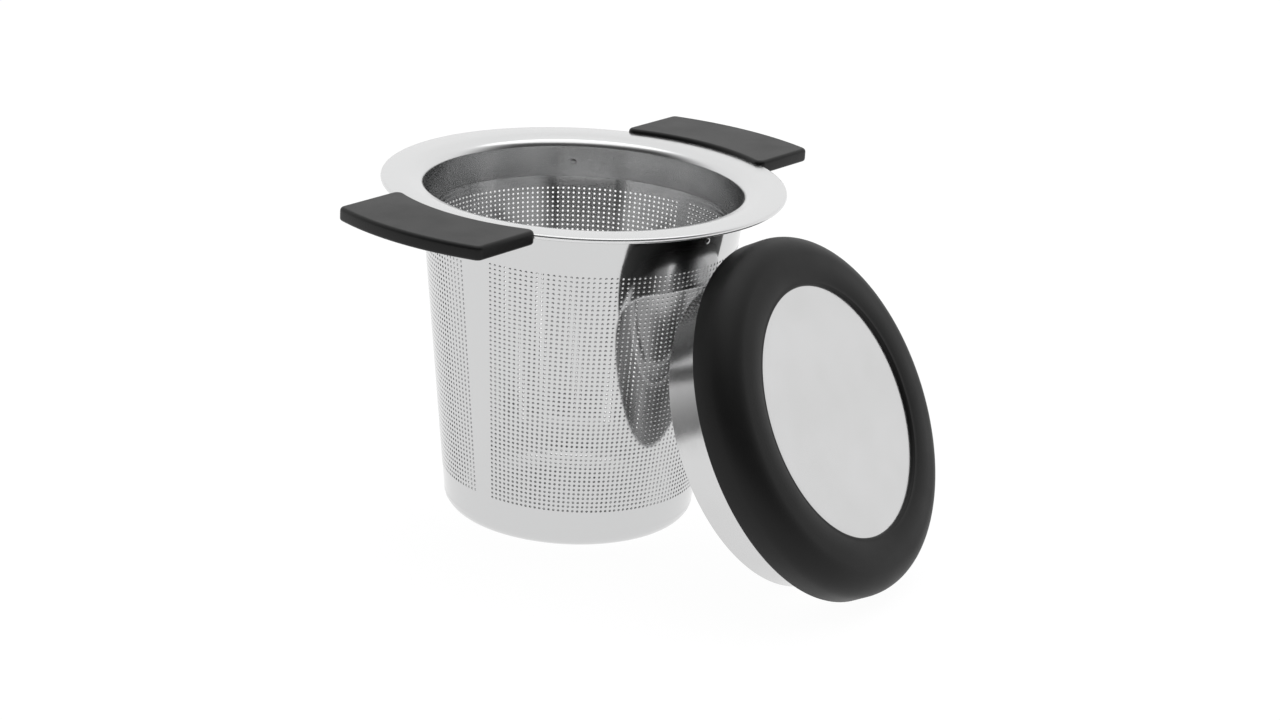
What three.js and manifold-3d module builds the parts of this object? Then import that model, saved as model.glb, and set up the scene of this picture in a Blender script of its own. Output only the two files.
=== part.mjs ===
import * as THREE from "three";
import { mergeVertices } from "three/addons/utils/BufferGeometryUtils.js";
import Module from "manifold-3d";

// Tea strainer: a tapered sheet-steel basket with a flanged rim and two grips, and its lid.
// Millimetres, +Z up. Origin at the centre of the basket's underside, the grips lie along X.
// The lid leans against the basket's wall, standing on the edge of its rubber ring.

// basket sheet
const RIM_TOP = 82.5;
const RIM_UNDER = 81.3;
const FLANGE_RADIUS = 48;
const BASE_RADIUS = 30;
const WALL_SLOPE = 9 / 82.5;
const SHEET = 0.4;
const COLLAR_END = 72.8;
const SEAM = 4.6;
const DISH_END = 10;
const DISH_SHEET = 0.8;
const CORNER = 4.5;
const MOUTH_ROUND = 1.9;
const REST_INNER = 40.5;

// grips and the rim tabs they cover
const GRIP_INNER = 46.8;
const GRIP_OUTER = 65.9;
const GRIP_HALF_WIDTH = 21;
const GRIP_TOP = 83.4;
const GRIP_UNDER = 80.1;
const GRIP_ROUND = 0.7;
const GRIP_CORNER = 1.6;
const TAB_INNER = 47;
const TAB_OUTER = 61.5;
const TAB_HALF_WIDTH = 15;

// lid, measured along its own axis from the face of its steel disc
const RING_RADIUS = 42.8;
const RING_BACK = -9;
const RING_LIP = 29.55;
const RING_FACE = 1.7;
const RING_SHOULDER = 6;
const RING_CHAMFER = 0.4;
const RING_GAP = 0.1;
const SKIRT_RADIUS = 36.6;
const SKIRT_END = -20.4;
const CAP_SHEET = 0.6;
const CAP_STEP = 1.6;

// how the lid leans: where it stands round the basket, which way its face is turned, how far it
// is tipped, and the distance of its disc from the basket's axis that leaves its skirt 0.4 mm
// off the wall
const LID_AZIMUTH = THREE.MathUtils.degToRad(-85.4);
const LID_FACING = THREE.MathUtils.degToRad(-83.05);
const LID_LEAN = THREE.MathUtils.degToRad(61.9);
const LID_DISTANCE = 72.7;

const SEGMENTS = 80;

const wasm = await Module();
wasm.setup();

function steel(color, roughness) {
  return new THREE.MeshStandardMaterial({ color, roughness, metalness: 1 });
}

function rubber(color, roughness) {
  return new THREE.MeshStandardMaterial({ color, roughness, metalness: 0 });
}

function named(name, geometry, material) {
  const mesh = new THREE.Mesh(geometry, material);
  mesh.name = name;
  return mesh;
}

function turned(profile) {
  const points = profile.map(([radius, height]) => new THREE.Vector2(radius, height));
  const geometry = new THREE.LatheGeometry(points, SEGMENTS);
  return geometry.rotateX(Math.PI / 2);
}

function toSolid(geometry) {
  const bare = geometry.clone();
  bare.deleteAttribute("normal");
  bare.deleteAttribute("uv");
  const merged = mergeVertices(bare);
  const vertProperties = Float32Array.from(merged.getAttribute("position").array);
  const triVerts = Uint32Array.from(merged.getIndex().array);
  return new wasm.Manifold(new wasm.Mesh({ numProp: 3, vertProperties, triVerts }));
}

function fromSolid(solid) {
  const mesh = solid.getMesh();
  const geometry = new THREE.BufferGeometry();
  geometry.setAttribute("position", new THREE.BufferAttribute(mesh.vertProperties, 3));
  geometry.setIndex(new THREE.BufferAttribute(mesh.triVerts, 1));
  geometry.computeVertexNormals();
  return geometry;
}

// outside radius of the tapered wall at a height
function wallRadius(height) {
  return BASE_RADIUS + WALL_SLOPE * height;
}

// quarter-like arc in the profile plane, from one angle to another in degrees
function arc(centreR, centreZ, radius, fromDeg, toDeg, steps) {
  const points = [];
  for (let i = 0; i <= steps; i += 1) {
    const angle = THREE.MathUtils.degToRad(fromDeg + ((toDeg - fromDeg) * i) / steps);
    points.push([centreR + radius * Math.cos(angle), centreZ + radius * Math.sin(angle)]);
  }
  return points;
}

// the rolled and welded sheet between the base dish and the rim
function strainerWall() {
  const profile = [
    [wallRadius(SEAM) - SHEET, SEAM],
    [wallRadius(SEAM), SEAM],
    [wallRadius(RIM_UNDER), RIM_UNDER],
    [wallRadius(RIM_UNDER) - SHEET, RIM_UNDER],
    [wallRadius(SEAM) - SHEET, SEAM],
  ];
  return named("strainer_wall", turned(profile), steel(0xc9cbcc, 0.28));
}

// drawn floor with a rounded corner, its upper edge lapped inside the wall
function baseDish() {
  const tiltDeg = THREE.MathUtils.radToDeg(Math.atan(WALL_SLOPE));
  const tilt = THREE.MathUtils.degToRad(tiltDeg);
  const centreR = BASE_RADIUS + WALL_SLOPE * CORNER - CORNER / Math.cos(tilt);
  const outer = arc(centreR, CORNER, CORNER, -90, -tiltDeg, 6);
  const inner = arc(centreR, CORNER, CORNER - DISH_SHEET, -tiltDeg, -90, 6);
  const profile = [
    [0, 0],
    ...outer,
    [wallRadius(SEAM), SEAM],
    [wallRadius(SEAM) - SHEET, SEAM],
    [wallRadius(DISH_END) - SHEET, DISH_END],
    [wallRadius(DISH_END) - DISH_SHEET, DISH_END],
    ...inner,
    [0, DISH_SHEET],
  ];
  return named("base_dish", turned(profile), steel(0xc4c6c8, 0.25));
}

// flat ring, rounded mouth and the collar that drops inside the wall
function rimRing() {
  const collarTop = RIM_TOP - 0.45 - MOUTH_ROUND;
  const mouthR = wallRadius(collarTop) - 2 * SHEET;
  const profile = [
    [wallRadius(COLLAR_END) - 2 * SHEET, COLLAR_END],
    [wallRadius(COLLAR_END) - SHEET, COLLAR_END],
    [wallRadius(RIM_UNDER) - SHEET, RIM_UNDER],
    [REST_INNER, RIM_UNDER],
    [FLANGE_RADIUS - 0.3, RIM_UNDER],
    [FLANGE_RADIUS, RIM_UNDER + 0.3],
    [FLANGE_RADIUS, RIM_TOP - 0.3],
    [FLANGE_RADIUS - 0.3, RIM_TOP],
    [mouthR + 5, RIM_TOP - 0.2],
    ...arc(mouthR + MOUTH_ROUND, collarTop, MOUTH_ROUND, 90, 180, 5),
    [wallRadius(COLLAR_END) - 2 * SHEET, COLLAR_END],
  ];
  return turned(profile);
}

// flat tongue standing out from the rim at one side, hidden inside the grip
function rimTab(side) {
  const length = TAB_OUTER - TAB_INNER;
  const geometry = new THREE.BoxGeometry(length, 2 * TAB_HALF_WIDTH, RIM_TOP - RIM_UNDER - 0.4);
  const middle = (RIM_TOP + RIM_UNDER) / 2;
  return geometry.translate(side * (TAB_INNER + length / 2), 0, middle);
}

function rimSolid() {
  let solid = toSolid(rimRing());
  for (const side of [1, -1]) {
    solid = solid.add(toSolid(rimTab(side)));
  }
  return solid;
}

// plan of one grip, drawn on the +X side: curved inner and outer edges, straight ends
function gripPlan() {
  const outerAngle = Math.asin((GRIP_HALF_WIDTH - GRIP_ROUND - GRIP_CORNER) / (GRIP_OUTER - GRIP_ROUND));
  const innerR = GRIP_INNER + GRIP_ROUND;
  const outerR = GRIP_OUTER - GRIP_ROUND;
  const half = GRIP_HALF_WIDTH - GRIP_ROUND;
  const innerAngle = Math.asin((half - GRIP_CORNER) / innerR);
  const innerX = innerR * Math.cos(Math.asin(half / innerR));
  const outerX = outerR * Math.cos(Math.asin(half / outerR));
  const shape = new THREE.Shape();
  shape.absarc(0, 0, outerR, -outerAngle, outerAngle, false);
  shape.quadraticCurveTo(outerX, half, outerX - GRIP_CORNER, half);
  shape.lineTo(innerX + GRIP_CORNER, half);
  shape.quadraticCurveTo(innerX, half, innerR * Math.cos(innerAngle), innerR * Math.sin(innerAngle));
  shape.absarc(0, 0, innerR, innerAngle, -innerAngle, true);
  shape.quadraticCurveTo(innerX, -half, innerX + GRIP_CORNER, -half);
  shape.lineTo(outerX - GRIP_CORNER, -half);
  shape.closePath();
  return shape;
}

// moulded grip wrapped round the rim's edge and its tab
function grip(name, turn, rim) {
  const geometry = new THREE.ExtrudeGeometry(gripPlan(), {
    depth: GRIP_TOP - GRIP_UNDER - 2 * GRIP_ROUND,
    bevelEnabled: true,
    bevelThickness: GRIP_ROUND,
    bevelSize: GRIP_ROUND,
    bevelSegments: 2,
    curveSegments: 10,
  });
  geometry.rotateZ(turn);
  geometry.translate(0, 0, GRIP_UNDER + GRIP_ROUND);
  const solid = toSolid(geometry).subtract(rim);
  return named(name, fromSolid(solid), rubber(0x2e2e2f, 0.55));
}

// outside of the steel cap from its skirt up to the edge of its disc, grown outwards by a gap
function capOutside(gap) {
  return [
    [SKIRT_RADIUS + gap, RING_BACK],
    [SKIRT_RADIUS + gap, -CAP_STEP - 1.5],
    [SKIRT_RADIUS - 0.45 + gap, -CAP_STEP - 0.45 + gap],
    [SKIRT_RADIUS - 1.5, -CAP_STEP + gap],
    [RING_LIP + 2.6 + gap, -CAP_STEP + gap],
    [RING_LIP + 1.4 + gap, gap],
    [RING_LIP, gap],
  ];
}

// drawn steel cup: raised disc, step under the ring and a straight skirt
function lidCap() {
  const profile = [
    [0, -CAP_SHEET],
    [RING_LIP + 0.9, -CAP_SHEET],
    [RING_LIP + 2.1, -CAP_STEP - CAP_SHEET],
    [SKIRT_RADIUS - 1.7, -CAP_STEP - CAP_SHEET],
    [SKIRT_RADIUS - CAP_SHEET, -CAP_STEP - 1.7],
    [SKIRT_RADIUS - CAP_SHEET, SKIRT_END],
    [SKIRT_RADIUS, SKIRT_END],
    ...capOutside(0),
    [0, 0],
  ];
  return named("lid_cap", turned(profile), steel(0xc8cacb, 0.3));
}

// soft ring moulded over the cap's shoulder, its rounded face standing proud of the disc
function lidRing() {
  const profile = [
    [SKIRT_RADIUS + RING_GAP, RING_BACK],
    [RING_RADIUS - RING_CHAMFER, RING_BACK],
    [RING_RADIUS, RING_BACK + RING_CHAMFER],
    ...arc(RING_RADIUS - RING_SHOULDER, RING_FACE - 0.25 - RING_SHOULDER, RING_SHOULDER, 0, 90, 6),
    [RING_LIP + 5, RING_FACE],
    [RING_LIP + 1.1, RING_FACE],
    [RING_LIP + 0.5, RING_FACE - 0.15],
    [RING_LIP + 0.2, RING_FACE - 0.6],
    ...capOutside(RING_GAP).reverse(),
  ];
  return named("lid_ring", turned(profile), rubber(0x1b1b1c, 0.5));
}

// height of the leaning lid's disc, with the lower of ring and skirt on the table
function lidHeight() {
  const sin = Math.sin(LID_LEAN);
  const cos = Math.cos(LID_LEAN);
  const ringDepth = RING_RADIUS * sin - (RING_BACK + RING_CHAMFER) * cos;
  const skirtDepth = SKIRT_RADIUS * sin - SKIRT_END * cos;
  return Math.max(ringDepth, skirtDepth);
}

function lid() {
  const group = new THREE.Group();
  group.name = "lid";
  group.rotation.set(0, LID_LEAN, LID_FACING, "ZYX");
  group.position.set(LID_DISTANCE * Math.cos(LID_AZIMUTH), LID_DISTANCE * Math.sin(LID_AZIMUTH), lidHeight());
  group.add(lidCap(), lidRing());
  return group;
}

function basket() {
  const group = new THREE.Group();
  group.name = "basket";
  const rim = rimSolid();
  group.add(strainerWall(), baseDish());
  group.add(named("rim_flange", fromSolid(rim), steel(0xd0d1d2, 0.25)));
  group.add(grip("grip_right", 0, rim));
  group.add(grip("grip_left", Math.PI, rim));
  return group;
}

const strainer = new THREE.Group();
strainer.name = "tea_strainer";
strainer.add(basket(), lid());

export default strainer;
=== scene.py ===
import math

import bpy
import numpy as np
from mathutils import Matrix, Vector


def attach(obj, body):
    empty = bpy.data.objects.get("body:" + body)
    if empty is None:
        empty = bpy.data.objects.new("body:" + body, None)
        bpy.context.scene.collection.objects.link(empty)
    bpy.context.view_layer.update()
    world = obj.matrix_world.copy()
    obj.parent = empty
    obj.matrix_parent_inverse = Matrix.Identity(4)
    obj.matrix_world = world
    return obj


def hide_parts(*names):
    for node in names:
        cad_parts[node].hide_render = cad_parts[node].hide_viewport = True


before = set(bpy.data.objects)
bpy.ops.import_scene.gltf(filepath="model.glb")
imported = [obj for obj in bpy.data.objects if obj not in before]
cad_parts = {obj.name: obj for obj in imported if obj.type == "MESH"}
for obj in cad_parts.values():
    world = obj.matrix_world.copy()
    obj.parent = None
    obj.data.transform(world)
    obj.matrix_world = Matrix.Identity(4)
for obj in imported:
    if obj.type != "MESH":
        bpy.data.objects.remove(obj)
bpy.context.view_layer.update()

MM = 0.001

# ---- sizes of the object, in millimetres: the CAD's, or within a millimetre of them ----

# the flange, the mouth rolled inside it and dipping below it, and the collar inside the wall
RIM_TOP, RIM_UNDER, FLANGE_R, FLANGE_ROUND = 82.5, 81.3, 48.2, 0.5
MOUTH_ROUND, MOUTH_DIP, COLLAR_END = 1.9, 0.7, 72.8
# the tapered wall: radius at the table, slope of the side, thickness, lower and upper edge
BASE_R, SLOPE, SHEET = 30.0, 9 / 82.5, 0.4
SEAM, WALL_TOP = 4.6, RIM_UNDER - 0.7
# the base dish: thickness, upper edge inside the wall, radius of the corner, step in at the seam
DISH_SHEET, DISH_END, CORNER, SEAM_STEP = 0.8, 10.0, 4.5, 0.16
# a faint crease round that corner: degrees below level, half its width in degrees, depth
CREASE, CREASE_HALF, CREASE_DEPTH = 18, 3, 0.07
# the collar's weld spots: where they are round the basket, height, radius, how far they stand out
WELDS = [math.radians(a) for a in (42.5, 155, 267.5)]
WELD_HEIGHT, WELD_R, WELD_RISE = 76.4, 0.75, 0.16
# the grips, and the rim's tabs inside them
GRIP_IN, GRIP_OUT, GRIP_HALF, GRIP_CORNER = 46.8, 65.9, 21.0, 1.8
GRIP_TOP, GRIP_UNDER, GRIP_ROUND_TOP, GRIP_ROUND_LOW = 83.4, 80.1, 0.9, 0.7
TAB_IN, TAB_OUT, TAB_HALF, TAB_INSET = 47.0, 61.5, 15.0, 0.2
# the lid along its own axis: the ring, then the cap with its disc, its step under the ring and its skirt
RING_R, RING_BACK, RING_LIP = 42.8, -9.0, 29.8
RING_FACE, RING_SHOULDER, RING_CHAMFER = 1.7, 6.0, 0.4
DISC, CAP_STEP, CAP_SHEET = 0.5, 1.6, 0.6
SKIRT_R, SKIRT_END, SKIRT_ROUND = 36.6, -20.4, 1.5
# the gap between the ring and the cap that it is bonded to
BOND = 0.02
# how the lid leans: where it stands round the basket, which way it faces, how far its disc is tipped
# from flat, and how far the disc is from the basket's axis
LID_AZIMUTH, LID_FACING, LID_LEAN = math.radians(-85.4), math.radians(-83.05), math.radians(61.9)
LID_DISTANCE = 72.7

# ---- the etched holes ----
# The sheet has two panels of holes, a wide plain band between them on the left and a narrow one on the
# right. Of each panel: its middle, columns, pitch of the columns at the top, how fast they spread
# downwards (per mm), how far the rows rise towards the panel's sides (mm), and the rows, with the height of
# the lowest and their pitch (mm).
PANEL_FRONT = (math.radians(268.98), 84, math.radians(2.0213), 0.00038, 0.55, 54, 10.1, 1.124)
PANEL_BACK = (math.radians(85.25), 86, math.radians(2.016), 0.00042, 0.0, 52, 10.888, 1.15264)
BAND_LEFT, BAND_RIGHT = math.radians(177.7), math.radians(-3.77)
HOLE_R_OUT, HOLE_R_IN = 0.32, 0.27
HOLE_SIDES = 8
HOLE_TURN = [math.pi / HOLE_SIDES + 2 * math.pi * k / HOLE_SIDES for k in range(HOLE_SIDES)]
# the floor's holes stand in a square lattice, which ends well inside the flat floor's edge
FLOOR_PITCH, FLOOR_EDGE, FLOOR_PLAIN = 1.3, 1.2, 3.0

# ---- how finely round shapes are divided ----
SEGMENTS, DISH_SEGMENTS, WELD_SIDES, GRIP_STEPS = 256, 192, 16, 16

# ---- the camera, as fitted to the photograph: heading from +X, pitch, roll, place in metres, lens ----
HEADING, PITCH, ROLL = math.radians(36.72), math.radians(-19.108), math.radians(3.446)
CAMERA_PLACE = (-0.54275, -0.42450, 0.27675)
LENS_MM, SENSOR_MM = 84.72, 36


# ================= mesh helpers =================


def new_object(name, verts, faces, material, sharp=35, normals=None):
    mesh = bpy.data.meshes.new(name)
    mesh.from_pydata(verts, [], faces)
    mesh.update()
    mesh.polygons.foreach_set("use_smooth", [True] * len(mesh.polygons))
    if normals is None:
        mesh.set_sharp_from_angle(angle=math.radians(sharp))
    else:
        mesh.normals_split_custom_set(normals)
    obj = bpy.data.objects.new(name, mesh)
    bpy.context.scene.collection.objects.link(obj)
    mesh.materials.append(material)
    return obj


def arc(cr, cz, radius, start, end, steps):
    """Points of an arc in the plane of radius and height, its angles in degrees."""
    out = []
    for k in range(steps + 1):
        a = math.radians(start + (end - start) * k / steps)
        out.append((cr + radius * math.cos(a), cz + radius * math.sin(a)))
    return out


def turned(profile, segments):
    """Vertices and faces of a profile of (radius, height) in mm, turned round Z. A profile that starts on
    the axis ends on it, with one vertex at each end; any other profile is closed."""
    verts, rings = [], []
    for r, z in profile:
        if r < 1e-6:
            rings.append([len(verts)])
            verts.append((0.0, 0.0, z * MM))
            continue
        rings.append(list(range(len(verts), len(verts) + segments)))
        for k in range(segments):
            a = 2 * math.pi * k / segments
            verts.append((r * math.cos(a) * MM, r * math.sin(a) * MM, z * MM))
    faces = []
    closed = profile[0][0] > 1e-6
    pairs = list(zip(rings, rings[1:])) + ([(rings[-1], rings[0])] if closed else [])
    for low, high in pairs:
        for k in range(segments):
            n = (k + 1) % segments
            if len(low) == 1:
                faces.append((low[0], high[n], high[k]))
            elif len(high) == 1:
                faces.append((low[k], low[n], high[0]))
            else:
                faces.append((low[k], low[n], high[n], high[k]))
    return verts, faces


def hole_loops(c, h):
    """Faces between a cell's corners c and the octagon h of its hole, both counter-clockwise. c starts low
    on the left; h starts at 22.5 degrees, so h[0] and h[7] are on the right and h[1] and h[2] at the top."""
    return (
        (c[0], c[1], h[6], h[5]), (c[1], c[2], h[0], h[7]),
        (c[2], c[3], h[2], h[1]), (c[3], c[0], h[4], h[3]),
        (c[1], h[7], h[6]), (c[2], h[1], h[0]), (c[3], h[3], h[2]), (c[0], h[5], h[4]),
    )


def wall_r(z):
    """Outer radius of the tapered wall at a height."""
    return BASE_R + SLOPE * z


def wall_normal(around):
    """Outward normal of the tapered wall."""
    lean = math.atan(SLOPE)
    return Vector((math.cos(around) * math.cos(lean), math.sin(around) * math.cos(lean), -math.sin(lean)))


# ================= materials =================


def material(name):
    mat = bpy.data.materials.new(name)
    mat.use_nodes = True
    nodes, links = mat.node_tree.nodes, mat.node_tree.links
    shader = nodes["Principled BSDF"]
    coords = nodes.new("ShaderNodeTexCoord")
    return mat, nodes, links, shader, coords.outputs["Object"]


def stretched_noise(nodes, links, coords, scale, stretch, detail=4.0):
    mapping = nodes.new("ShaderNodeMapping")
    mapping.inputs["Scale"].default_value = stretch
    noise = nodes.new("ShaderNodeTexNoise")
    noise.inputs["Scale"].default_value = scale
    noise.inputs["Detail"].default_value = detail
    noise.inputs["Roughness"].default_value = 0.55
    links.new(coords, mapping.inputs["Vector"])
    links.new(mapping.outputs["Vector"], noise.inputs["Vector"])
    return noise.outputs["Fac"]


def remap(nodes, links, value, low, high):
    node = nodes.new("ShaderNodeMapRange")
    node.inputs["From Min"].default_value = 0.25
    node.inputs["From Max"].default_value = 0.75
    node.inputs["To Min"].default_value = low
    node.inputs["To Max"].default_value = high
    links.new(value, node.inputs["Value"])
    return node.outputs["Result"]


def ramp(nodes, links, value, dark, light):
    node = nodes.new("ShaderNodeValToRGB")
    node.color_ramp.elements[0].position = 0.3
    node.color_ramp.elements[1].position = 0.7
    node.color_ramp.elements[0].color = (*dark, 1)
    node.color_ramp.elements[1].color = (*light, 1)
    links.new(value, node.inputs["Fac"])
    return node.outputs["Color"]


def bump(nodes, links, shader, value, distance, strength=1.0):
    node = nodes.new("ShaderNodeBump")
    node.inputs["Distance"].default_value = distance
    node.inputs["Strength"].default_value = strength
    links.new(value, node.inputs["Height"])
    links.new(node.outputs["Normal"], shader.inputs["Normal"])


def steel(name, grey, rough, grain, stretch, depth, tint=None):
    """Bright sheet steel: a fine directional grain in the gloss and in the surface."""
    mat, nodes, links, shader, coords = material(name)
    shader.inputs["Metallic"].default_value = 1.0
    shader.inputs["Base Color"].default_value = (grey, grey * 1.003, grey * 1.006, 1)
    streaks = stretched_noise(nodes, links, coords, grain, stretch)
    links.new(remap(nodes, links, streaks, rough[0], rough[1]), shader.inputs["Roughness"])
    bump(nodes, links, shader, streaks, depth)
    if tint:
        clouds = stretched_noise(nodes, links, coords, 60, (1, 1, 1), 2)
        low, high = tint
        shades = ramp(nodes, links, clouds, (low,) * 3, (high, high, high * 1.005))
        links.new(shades, shader.inputs["Base Color"])
    return mat


def rubber(name, dark, light, rough, level):
    """Matt moulded black: fine pebbling in the surface, slight cloudiness in the colour and the gloss."""
    mat, nodes, links, shader, coords = material(name)
    clouds = stretched_noise(nodes, links, coords, 90, (1, 1, 1), 3)
    links.new(ramp(nodes, links, clouds, (dark,) * 3, (light,) * 3), shader.inputs["Base Color"])
    links.new(remap(nodes, links, clouds, rough[0], rough[1]), shader.inputs["Roughness"])
    shader.inputs["Specular IOR Level"].default_value = level
    pebbles = stretched_noise(nodes, links, coords, 2600, (1, 1, 1), 2)
    bump(nodes, links, shader, pebbles, 0.00004, 0.6)
    return mat


def pale_floor():
    mat, nodes, links, shader, coords = material("floor_paper")
    clouds = stretched_noise(nodes, links, coords, 3, (1, 1, 1), 2)
    links.new(ramp(nodes, links, clouds, (0.08, 0.08, 0.08), (0.09, 0.09, 0.09)), shader.inputs["Base Color"])
    shader.inputs["Roughness"].default_value = 0.9
    shader.inputs["Specular IOR Level"].default_value = 0.0
    shader.inputs["Emission Color"].default_value = (1, 1, 1, 1)
    shader.inputs["Emission Strength"].default_value = 0.96
    return mat


WALL_STEEL = steel("wall_steel", 0.62, (0.05, 0.09), 900, (1, 1, 0.08), 0.000001)
DISH_STEEL = steel("dish_steel", 0.62, (0.10, 0.15), 500, (1, 1, 4), 0.000001)
RIM_STEEL = steel("rim_steel", 0.70, (0.18, 0.25), 400, (1, 1, 6), 0.000002)
LID_STEEL = steel("lid_steel", 0.66, (0.16, 0.22), 700, (1, 1, 1), 0.0000006, (0.63, 0.66))
GRIP_RUBBER = rubber("grip_rubber", 0.005, 0.007, (0.38, 0.46), 0.25)
LID_RUBBER = rubber("lid_rubber", 0.006, 0.008, (0.44, 0.53), 0.22)


# ================= basket wall =================


def panel_grid(panel, start, end):
    """Angles and heights, in rows, of the points that divide a part of the wall from angle start to end,
    with the first and last column and row of the cells that hold a hole."""
    middle, columns, pitch, spread, rise, rows, row_low, row_pitch = panel
    low = row_low - row_pitch / 2
    high = low + row_pitch * rows
    heights = [SEAM, (SEAM + low) / 2]
    heights += [low + row_pitch * k for k in range(rows + 1)]
    heights += [high + (WALL_TOP - high) * k / 4 for k in range(1, 5)]
    angles, levels = [], []
    for z in heights:
        step = pitch * (1 + spread * (high - z))
        first, last = middle - step * columns / 2, middle + step * columns / 2
        line = [start + (first - start) * k / 3 for k in range(3)]
        line += [first + step * k for k in range(columns + 1)]
        line += [last + (end - last) * k / 3 for k in range(1, 4)]
        angles.append(line)
        slack = min(1.0, (z - SEAM) / (low - SEAM), (WALL_TOP - z) / (WALL_TOP - high))
        levels.append([z + slack * rise * ((a - middle) / (math.pi / 2)) ** 2 for a in line])
    return np.array(angles), np.array(levels), (3, 3 + columns), (2, 2 + rows)


def wall_part(name, panel, start, end):
    """Part of the etched sheet as a closed solid: two skins, an edge round every hole and closed ends."""
    angles, levels, (c0, c1), (r0, r1) = panel_grid(panel, start, end)
    nh, na = angles.shape
    verts, vert_angle = [], []

    def add(a, z, depth):
        r = wall_r(z) - depth
        verts.append((r * math.cos(a) * MM, r * math.sin(a) * MM, z * MM))
        vert_angle.append(a)
        return len(verts) - 1

    skins = []
    for depth in (0.0, SHEET):
        skins.append([[add(angles[j, i], levels[j, i], depth) for i in range(na)] for j in range(nh)])
    faces, kinds = [], []

    def face(loop, kind):
        faces.append(tuple(loop))
        kinds.append(kind)

    for j in range(nh - 1):
        for i in range(na - 1):
            corners = [[s[j][i], s[j][i + 1], s[j + 1][i + 1], s[j + 1][i]] for s in skins]
            if not (c0 <= i < c1 and r0 <= j < r1):
                face(corners[0], 1)
                face(reversed(corners[1]), -1)
                continue
            z = levels[j:j + 2, i:i + 2].mean()
            a = angles[j:j + 2, i:i + 2].mean()
            rings = []
            for depth, radius in ((0.0, HOLE_R_OUT), (SHEET, HOLE_R_IN)):
                rings.append([
                    add(a + radius * math.cos(t) / wall_r(z), z + radius * math.sin(t), depth)
                    for t in HOLE_TURN
                ])
            for side, sign in ((0, 1), (1, -1)):
                for loop in hole_loops(corners[side], rings[side]):
                    face(loop if sign > 0 else reversed(loop), sign)
            for k in range(HOLE_SIDES):
                n = (k + 1) % HOLE_SIDES
                face((rings[0][k], rings[0][n], rings[1][n], rings[1][k]), 0)
    outer, inner = skins
    for i in range(na - 1):
        face((inner[0][i], inner[0][i + 1], outer[0][i + 1], outer[0][i]), 0)
        face((outer[-1][i], outer[-1][i + 1], inner[-1][i + 1], inner[-1][i]), 0)
    for j in range(nh - 1):
        face((inner[j][0], outer[j][0], outer[j + 1][0], inner[j + 1][0]), 0)
        face((outer[j][-1], inner[j][-1], inner[j + 1][-1], outer[j + 1][-1]), 0)

    # a face's kind is 1 on the outer skin, -1 on the inner one and 0 on an edge; the skins get the exact
    # normals of the cone, so that the sheet reflects as one smooth surface
    points = [Vector(v) for v in verts]
    normals = []
    for loop, kind in zip(faces, kinds):
        if kind:
            normals.extend(tuple(wall_normal(vert_angle[v]) * kind) for v in loop)
        else:
            p = [points[v] for v in loop]
            flat = (p[2] - p[0]).cross(p[3] - p[1]).normalized()
            normals.extend([tuple(flat)] * len(loop))
    return new_object(name, verts, faces, WALL_STEEL, normals=normals)


# ================= base dish =================


def dish_profile():
    """Radius at which the dish's flat floor meets its corner, and the corner's outer and inner outline."""
    lean = math.degrees(math.atan(SLOPE))
    centre = BASE_R + SLOPE * CORNER - CORNER / math.cos(math.radians(lean))
    crease, dent = math.radians(-CREASE), CORNER - CREASE_DEPTH
    outer = [
        *arc(centre, CORNER, CORNER, -90, -CREASE - CREASE_HALF, 12),
        (centre + dent * math.cos(crease), CORNER + dent * math.sin(crease)),
        *arc(centre, CORNER, CORNER, -CREASE + CREASE_HALF, -lean, 4),
    ]
    inner = arc(centre, CORNER, CORNER - DISH_SHEET, -lean, -90, 16)
    return centre, outer, inner


def base_corner():
    """The dish from the edge of its etched floor, round its corner and up inside the wall."""
    centre, outer, inner = dish_profile()
    edge = centre - FLOOR_EDGE
    profile = [
        (edge, 0), *outer[:-1], (wall_r(CORNER) - SEAM_STEP, CORNER), (wall_r(SEAM) - SEAM_STEP, SEAM),
        (wall_r(SEAM) - SHEET, SEAM), (wall_r(DISH_END) - SHEET, DISH_END),
        (wall_r(DISH_END) - DISH_SHEET, DISH_END), *inner, (edge, DISH_SHEET),
    ]
    verts, faces = turned(profile, DISH_SEGMENTS)
    return new_object("base_corner", verts, faces, DISH_STEEL)


CELL = ((0, 0), (1, 0), (1, 1), (0, 1))


def floor_cells(reach):
    """Cells of the square lattice that lie within a radius, each named by its low left corner."""
    n = math.ceil(reach / FLOOR_PITCH)
    return [
        (i, j) for i in range(-n, n) for j in range(-n, n)
        if all(math.hypot(i + a, j + b) * FLOOR_PITCH < reach for a, b in CELL)
    ]


def stepped_outline(cells):
    """Lattice points round the outside of the cells, counter-clockwise from the least angle."""
    inside = set(cells)
    following = {}
    for i, j in cells:
        for k, (di, dj) in enumerate(((0, -1), (1, 0), (0, 1), (-1, 0))):
            if (i + di, j + dj) not in inside:
                a, b = CELL[k], CELL[(k + 1) % 4]
                following[(i + a[0], j + a[1])] = (i + b[0], j + b[1])
    loop = [min(following, key=angle_of)]
    while following[loop[-1]] != loop[0]:
        loop.append(following[loop[-1]])
    return loop


def angle_of(point):
    return math.atan2(point[1], point[0]) % (2 * math.pi)


def bridge(loop, count):
    """Triangles between the stepped outline and `count` points evenly round a circle outside it. Each corner
    is (True, k) for a point of the outline or (False, k) for one of the circle."""
    angle = [angle_of(p) for p in loop] + [2 * math.pi + angle_of(loop[0])]
    triangles = []
    k_in, k_out = 0, 0
    while k_in < len(loop) or k_out < count:
        circle_next = 2 * math.pi * (k_out + 1) / count
        if k_out >= count or (k_in < len(loop) and angle[k_in + 1] <= circle_next):
            triangles.append(((True, k_in), (False, k_out), (True, k_in + 1)))
            k_in += 1
        else:
            triangles.append(((True, k_in), (False, k_out), (False, k_out + 1)))
            k_out += 1
    return triangles


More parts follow.
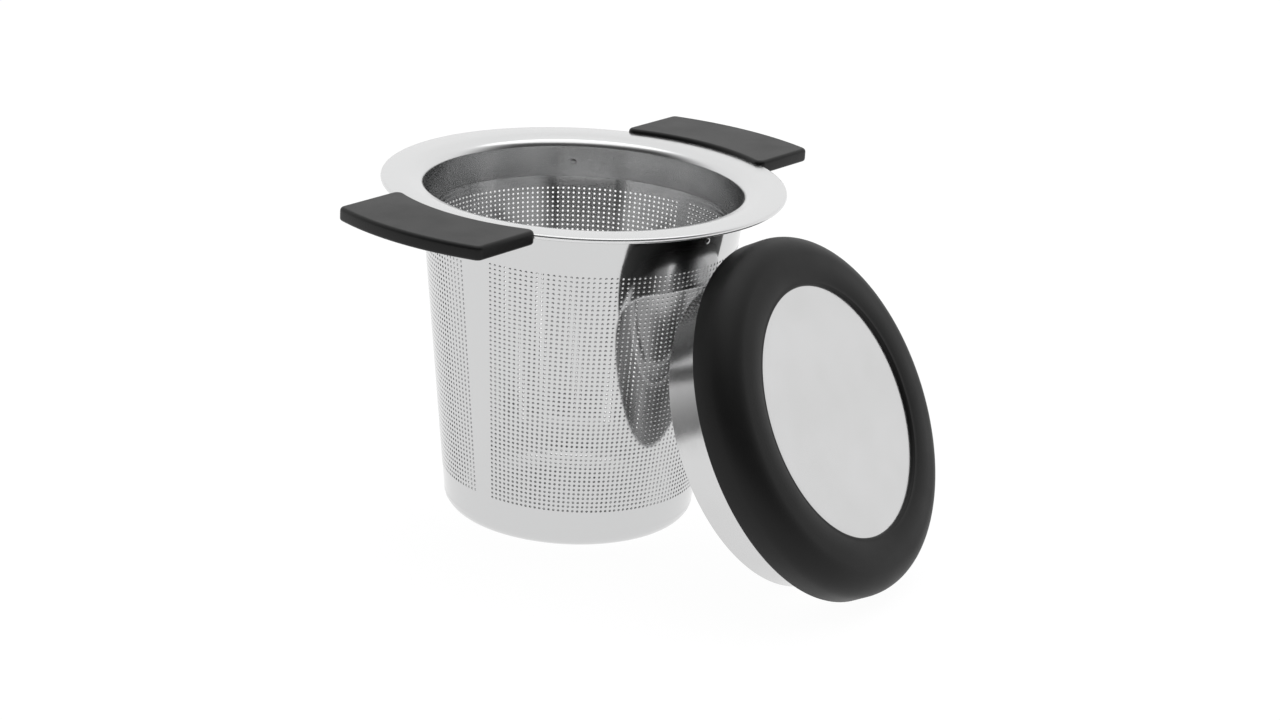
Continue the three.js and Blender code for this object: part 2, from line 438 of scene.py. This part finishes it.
def base_floor():
    """Flat floor of the dish as a closed solid: a square lattice of holes inside a plain edge."""
    edge = dish_profile()[0] - FLOOR_EDGE
    cells = floor_cells(edge - FLOOR_PLAIN)
    verts, faces = [], []

    def add(x, y, z):
        verts.append((x * MM, y * MM, z * MM))
        return len(verts) - 1

    def face(loop, level):
        faces.append(tuple(loop) if level else tuple(reversed(loop)))

    heights = (0.0, DISH_SHEET)
    lattice = {}
    for level, z in enumerate(heights):
        for i, j in cells:
            for a, b in CELL:
                key = (i + a, j + b, level)
                if key not in lattice:
                    lattice[key] = add(key[0] * FLOOR_PITCH, key[1] * FLOOR_PITCH, z)
    for i, j in cells:
        x, y = (i + 0.5) * FLOOR_PITCH, (j + 0.5) * FLOOR_PITCH
        low, high = [
            [add(x + HOLE_R_OUT * math.cos(t), y + HOLE_R_OUT * math.sin(t), z) for t in HOLE_TURN]
            for z in heights
        ]
        for level, hole in enumerate((low, high)):
            for loop in hole_loops([lattice[(i + a, j + b, level)] for a, b in CELL], hole):
                face(loop, level)
        for k in range(HOLE_SIDES):
            n = (k + 1) % HOLE_SIDES
            faces.append((high[k], high[n], low[n], low[k]))
    outline, count = stepped_outline(cells), DISH_SEGMENTS
    rounds = [2 * math.pi * k / count for k in range(count)]
    rims = [[add(edge * math.cos(a), edge * math.sin(a), z) for a in rounds] for z in heights]
    margin = bridge(outline, count)
    for level in (0, 1):
        for triangle in margin:
            face([
                lattice[(*outline[k % len(outline)], level)] if on_lattice else rims[level][k % count]
                for on_lattice, k in triangle
            ], level)
    return new_object("base_floor", verts, faces, DISH_STEEL, sharp=30)


# ================= rim =================


def rim():
    """Flange, dipping to a rolled mouth and on into the collar, with the grips' tabs and the welds."""
    top = RIM_TOP - MOUTH_DIP - MOUTH_ROUND
    mouth = wall_r(top) - 2 * SHEET
    profile = [
        (wall_r(COLLAR_END) - 2 * SHEET + 0.05, COLLAR_END),
        (wall_r(COLLAR_END) - SHEET, COLLAR_END),
        (wall_r(WALL_TOP) - SHEET, WALL_TOP),
        (mouth + 1.8, WALL_TOP),
        (mouth + 4.6, RIM_UNDER - 0.3),
        (mouth + 7.4, RIM_UNDER),
        *arc(FLANGE_R - FLANGE_ROUND, RIM_UNDER + FLANGE_ROUND, FLANGE_ROUND, -90, 0, 5),
        *arc(FLANGE_R - FLANGE_ROUND, RIM_TOP - FLANGE_ROUND, FLANGE_ROUND, 0, 90, 5),
        (mouth + 5.4, RIM_TOP),
        (mouth + 4.2, RIM_TOP - 0.07),
        (mouth + 3.2, RIM_TOP - 0.24),
        (mouth + 2.3, RIM_TOP - 0.5),
        *arc(mouth + MOUTH_ROUND, top, MOUTH_ROUND, 104, 180, 13),
        (wall_r(COLLAR_END + 0.3) - 2 * SHEET, COLLAR_END + 0.3),
    ]
    verts, faces = turned(profile, SEGMENTS)
    for side in (1, -1):
        near, far = sorted((side * TAB_IN, side * TAB_OUT))
        n = len(verts)
        for z in (RIM_UNDER + TAB_INSET, RIM_TOP - TAB_INSET):
            for x, y in ((near, -TAB_HALF), (far, -TAB_HALF), (far, TAB_HALF), (near, TAB_HALF)):
                verts.append((x * MM, y * MM, z * MM))
        faces += [(n + 3, n + 2, n + 1, n), (n + 4, n + 5, n + 6, n + 7)]
        faces += [(n + k, n + (k + 1) % 4, n + 4 + (k + 1) % 4, n + 4 + k) for k in range(4)]
    for around in WELDS:
        for out in (1, -1):
            weld_spot(verts, faces, around, out)
    return new_object("rim", verts, faces, RIM_STEEL)


# a weld spot's outline from its foot, sunk in the sheet, to near its top: shares of its radius and its rise
WELD_DOME = ((1.0, -0.1), (1.0, 0.0), (0.86, 0.28), (0.62, 0.66), (0.32, 0.93))


def weld_spot(verts, faces, around, out):
    """Low round swelling where the collar is welded to the sheet, outside (out 1) or inside (out -1)."""
    skin = wall_r(WELD_HEIGHT) if out > 0 else wall_r(WELD_HEIGHT) - 2 * SHEET
    middle = Vector((skin * math.cos(around), skin * math.sin(around), WELD_HEIGHT))
    normal = wall_normal(around) * out
    along = Vector((-math.sin(around), math.cos(around), 0)) * out
    up = normal.cross(along)
    start, sides = len(verts), WELD_SIDES
    for radius, rise in WELD_DOME:
        for k in range(sides):
            a = 2 * math.pi * k / sides
            point = middle + (along * math.cos(a) + up * math.sin(a)) * radius * WELD_R
            verts.append(tuple((point + normal * rise * WELD_RISE) * MM))
    verts.append(tuple((middle + normal * WELD_RISE) * MM))
    last = start + (len(WELD_DOME) - 1) * sides
    for low in range(start, last, sides):
        for k in range(sides):
            n = (k + 1) % sides
            faces.append((low + k, low + n, low + sides + n, low + sides + k))
    faces.extend((last + k, last + (k + 1) % sides, last + sides) for k in range(sides))
    faces.append(tuple(start + k for k in reversed(range(sides))))


# ================= grips =================


def fillet(points, centre, radius, start, end, steps=6):
    """Adds the rounding of a corner to an outline, its angles in radians."""
    for k in range(steps + 1):
        a = start + (end - start) * k / steps
        points.append((centre[0] + radius * math.cos(a), centre[1] + radius * math.sin(a)))


def grip_outline():
    """Plan of the +X grip, counter-clockwise: curved inner and outer edges, straight ends, round corners."""
    corner = GRIP_CORNER
    y = GRIP_HALF - corner
    out_c = (math.sqrt((GRIP_OUT - corner) ** 2 - y * y), y)
    in_c = (math.sqrt((GRIP_IN + corner) ** 2 - y * y), y)
    out_a, in_a = math.atan2(y, out_c[0]), math.atan2(y, in_c[0])
    points = []
    for k in range(-GRIP_STEPS, GRIP_STEPS + 1):
        a = out_a * k / GRIP_STEPS
        points.append((GRIP_OUT * math.cos(a), GRIP_OUT * math.sin(a)))
    fillet(points, out_c, corner, out_a, math.pi / 2)
    fillet(points, in_c, corner, math.pi / 2, math.pi + in_a)
    for k in range(GRIP_STEPS - 1, -GRIP_STEPS, -1):
        a = in_a * k / GRIP_STEPS
        points.append((GRIP_IN * math.cos(a), GRIP_IN * math.sin(a)))
    fillet(points, (in_c[0], -y), corner, math.pi - in_a, 1.5 * math.pi)
    fillet(points, (out_c[0], -y), corner, -math.pi / 2, -out_a)
    # stretches that meet end in the same point, which is kept once
    same = 0.02
    clean = []
    for p in points:
        if not clean or math.dist(p, clean[-1]) > same:
            clean.append(p)
    if math.dist(clean[0], clean[-1]) < same:
        clean.pop()
    return clean


def inset(points, distance):
    """Moves a counter-clockwise outline inwards, each point square to its neighbours' line."""
    out = []
    n = len(points)
    for k in range(n):
        (x0, y0), (x1, y1) = points[k - 1], points[(k + 1) % n]
        dx, dy = x1 - x0, y1 - y0
        length = math.hypot(dx, dy)
        out.append((points[k][0] - dy / length * distance, points[k][1] + dx / length * distance))
    return out


def grip(name, turn):
    """Moulded slab with rolled edges: its outline drawn in step by step over the roundings."""
    outline = grip_outline()
    n = len(outline)
    flat, middle = 0.3, 2.6
    sections = [(shrink(outline, middle), GRIP_UNDER), (inset(outline, GRIP_ROUND_LOW + flat), GRIP_UNDER)]
    for k in range(7):
        a = math.pi / 2 * k / 6
        distance = GRIP_ROUND_LOW * (1 - math.sin(a))
        sections.append((inset(outline, distance), GRIP_UNDER + GRIP_ROUND_LOW * (1 - math.cos(a))))
    for k in range(8):
        a = math.pi / 2 * k / 7
        distance = GRIP_ROUND_TOP * (1 - math.cos(a))
        sections.append((inset(outline, distance), GRIP_TOP - GRIP_ROUND_TOP * (1 - math.sin(a))))
    sections += [(inset(outline, GRIP_ROUND_TOP + flat), GRIP_TOP), (shrink(outline, middle), GRIP_TOP)]
    verts, faces = [], []
    for points, z in sections:
        for x, y in points:
            xr = x * math.cos(turn) - y * math.sin(turn)
            yr = x * math.sin(turn) + y * math.cos(turn)
            verts.append((xr * MM, yr * MM, z * MM))
    last = (len(sections) - 1) * n
    for low in range(0, last, n):
        for k in range(n):
            m = (k + 1) % n
            faces.append((low + k, low + m, low + n + m, low + n + k))
    faces.append(tuple(reversed(range(n))))
    faces.append(tuple(range(last, last + n)))
    return new_object(name, verts, faces, GRIP_RUBBER, sharp=40)


def shrink(points, distance):
    """Draws the outline in towards its middle, for the flat faces' inner ring."""
    cx = sum(p[0] for p in points) / len(points)
    k_x = 1 - 2 * distance / (GRIP_OUT - GRIP_IN)
    k_y = 1 - distance / GRIP_HALF
    return [(cx + (x - cx) * k_x, y * k_y) for x, y in points]


# ================= lid =================


def lid_matrix():
    """The lid's own frame, +Z out of its face, leaning on the basket and standing on its ring."""
    sin, cos = math.sin(LID_LEAN), math.cos(LID_LEAN)
    height = max(RING_R * sin - (RING_BACK + RING_CHAMFER) * cos, SKIRT_R * sin - SKIRT_END * cos)
    place = Vector((LID_DISTANCE * math.cos(LID_AZIMUTH), LID_DISTANCE * math.sin(LID_AZIMUTH), height)) * MM
    return Matrix.Translation(place) @ Matrix.Rotation(LID_FACING, 4, "Z") @ Matrix.Rotation(LID_LEAN, 4, "Y")


def cap_outside():
    """The cap's outside under the ring, from its skirt over its shoulder and step to its disc."""
    return [
        (SKIRT_R, RING_BACK + 0.2),
        *arc(SKIRT_R - SKIRT_ROUND, -CAP_STEP - SKIRT_ROUND, SKIRT_ROUND, 0, 90, 8),
        (RING_LIP + 2.8, -CAP_STEP), (RING_LIP + 2.3, -CAP_STEP + 0.3),
        (RING_LIP + 1.5, DISC - 0.2), (RING_LIP + 1.0, DISC),
    ]


def lid_cap():
    """Drawn steel cup: raised disc, step under the ring and a straight skirt."""
    profile = [
        (0, DISC - CAP_SHEET), (RING_LIP - 2, DISC - CAP_SHEET), (RING_LIP + 0.7, DISC - CAP_SHEET - 0.05),
        (RING_LIP + 1.6, -CAP_STEP - CAP_SHEET + 0.2), (RING_LIP + 2.2, -CAP_STEP - CAP_SHEET),
        (SKIRT_R - 2.6, -CAP_STEP - CAP_SHEET),
        *arc(SKIRT_R - SKIRT_ROUND, -CAP_STEP - SKIRT_ROUND, SKIRT_ROUND - CAP_SHEET, 90, 0, 6),
        (SKIRT_R - CAP_SHEET, SKIRT_END + 0.15), (SKIRT_R - CAP_SHEET + 0.15, SKIRT_END),
        (SKIRT_R - 0.15, SKIRT_END), (SKIRT_R, SKIRT_END + 0.15),
        *cap_outside(),
        (RING_LIP - 2, DISC), (0, DISC),
    ]
    verts, faces = turned(profile, SEGMENTS)
    return new_object("lid_cap_steel", verts, faces, LID_STEEL)


def lid_ring():
    """Soft ring over the cap's shoulder, crowned, its face standing proud of the disc."""
    profile = [
        (SKIRT_R + BOND, RING_BACK),
        (RING_R - RING_CHAMFER, RING_BACK),
        (RING_R - 0.3 * RING_CHAMFER, RING_BACK + 0.3 * RING_CHAMFER),
        (RING_R, RING_BACK + RING_CHAMFER),
        *arc(RING_R - RING_SHOULDER, RING_FACE - 0.25 - RING_SHOULDER, RING_SHOULDER, 0, 84, 20),
        (RING_LIP + 5.5, RING_FACE - 0.06), (RING_LIP + 4.2, RING_FACE - 0.01),
        (RING_LIP + 2.8, RING_FACE - 0.1), (RING_LIP + 1.5, RING_FACE - 0.33),
        *arc(RING_LIP + 0.75, RING_FACE - 1.13, 0.65, 76, 175, 8),
        (RING_LIP + 0.05, DISC + BOND),
        *[(r + BOND, z + BOND) for r, z in reversed(cap_outside())],
    ]
    verts, faces = turned(profile, SEGMENTS)
    return new_object("lid_ring_rubber", verts, faces, LID_RUBBER)


# ================= camera, floor and light =================


def add_camera():
    data = bpy.data.cameras.new("camera")
    cam = bpy.data.objects.new("camera", data)
    bpy.context.scene.collection.objects.link(cam)
    data.sensor_width = SENSOR_MM
    data.lens = LENS_MM
    data.clip_start, data.clip_end = 0.01, 20
    flat = math.cos(PITCH)
    ahead = Vector((math.cos(HEADING) * flat, math.sin(HEADING) * flat, math.sin(PITCH)))
    level = Vector((math.sin(HEADING), -math.cos(HEADING), 0))
    upright = level.cross(ahead)
    right = level * math.cos(ROLL) + upright * math.sin(ROLL)
    up = upright * math.cos(ROLL) - level * math.sin(ROLL)
    place = Matrix((right, up, -ahead)).transposed().to_4x4()
    place.translation = Vector(CAMERA_PLACE)
    cam.matrix_world = place
    bpy.context.scene.camera = cam


def add_floor():
    """Pale floor, a hair below the object so that the two don't share a plane."""
    half, drop = 3.0, 0.0002
    verts = [(-half, -half, 0), (half, -half, 0), (half, half, 0), (-half, half, 0)]
    floor = new_object("floor", verts, [(0, 1, 2, 3)], pale_floor())
    floor.location.z = -drop


def add_area(name, location, target, size, power):
    data = bpy.data.lights.new(name, "AREA")
    data.shape = "DISK"
    data.size = size
    data.energy = power
    light = bpy.data.objects.new(name, data)
    light.location = location
    light.rotation_euler = (Vector(target) - Vector(location)).to_track_quat("-Z", "Y").to_euler()
    bpy.context.scene.collection.objects.link(light)


def smooth_step(nodes, links, value, start, end, low, high):
    node = nodes.new("ShaderNodeMapRange")
    node.interpolation_type = "SMOOTHSTEP"
    for socket, number in (("From Min", start), ("From Max", end), ("To Min", low), ("To Max", high)):
        node.inputs[socket].default_value = number
    links.new(value, node.inputs["Value"])
    return node.outputs["Result"]


def add_world():
    """White surround, bright behind the object and overhead, dark in front of it."""
    world = bpy.data.worlds.new("studio")
    bpy.context.scene.world = world
    world.use_nodes = True
    nodes, links = world.node_tree.nodes, world.node_tree.links
    coords = nodes.new("ShaderNodeTexCoord")
    along = nodes.new("ShaderNodeVectorMath")
    along.operation = "DOT_PRODUCT"
    along.inputs[1].default_value = (math.cos(HEADING), math.sin(HEADING), 0)
    links.new(coords.outputs["Generated"], along.inputs[0])
    split = nodes.new("ShaderNodeSeparateXYZ")
    links.new(coords.outputs["Generated"], split.inputs[0])
    behind = smooth_step(nodes, links, along.outputs["Value"], -0.55, 0.45, 0.08, 1.0)
    above = smooth_step(nodes, links, split.outputs["Z"], 0.5, 1.0, 0.0, 0.55)
    brightest = nodes.new("ShaderNodeMath")
    brightest.operation = "MAXIMUM"
    links.new(behind, brightest.inputs[0])
    links.new(above, brightest.inputs[1])
    background = nodes["Background"]
    background.inputs["Color"].default_value = (1, 1, 1, 1)
    links.new(brightest.outputs["Value"], background.inputs["Strength"])


# ================= assembly =================

bpy.context.scene.view_settings.view_transform = "Standard"

for name, panel, start, end in (
    ("wall_front", PANEL_FRONT, BAND_LEFT, BAND_RIGHT + 2 * math.pi),
    ("wall_back", PANEL_BACK, BAND_RIGHT, BAND_LEFT),
):
    piece = wall_part(name, panel, start, end)
    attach(piece, "basket")
    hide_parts("strainer_wall")

for piece in (base_corner(), base_floor()):
    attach(piece, "basket")
    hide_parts("base_dish")

piece = rim()
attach(piece, "basket")
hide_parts("rim_flange")

for name, turn, node in (
    ("grip_right_rubber", 0.0, "grip_right"),
    ("grip_left_rubber", math.pi, "grip_left"),
):
    piece = grip(name, turn)
    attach(piece, "basket")
    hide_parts(node)

for piece, node, slot_name in ((lid_cap(), "lid_cap", "lid_steel"), (lid_ring(), "lid_ring", "lid_rubber")):
    piece.data.transform(lid_matrix())
    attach(piece, "lid")
    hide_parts(node)

add_camera()
add_floor()
add_world()
add_area("overhead", (0.1, 0.0, 0.9), (0, 0, 0), 1.0, 2)
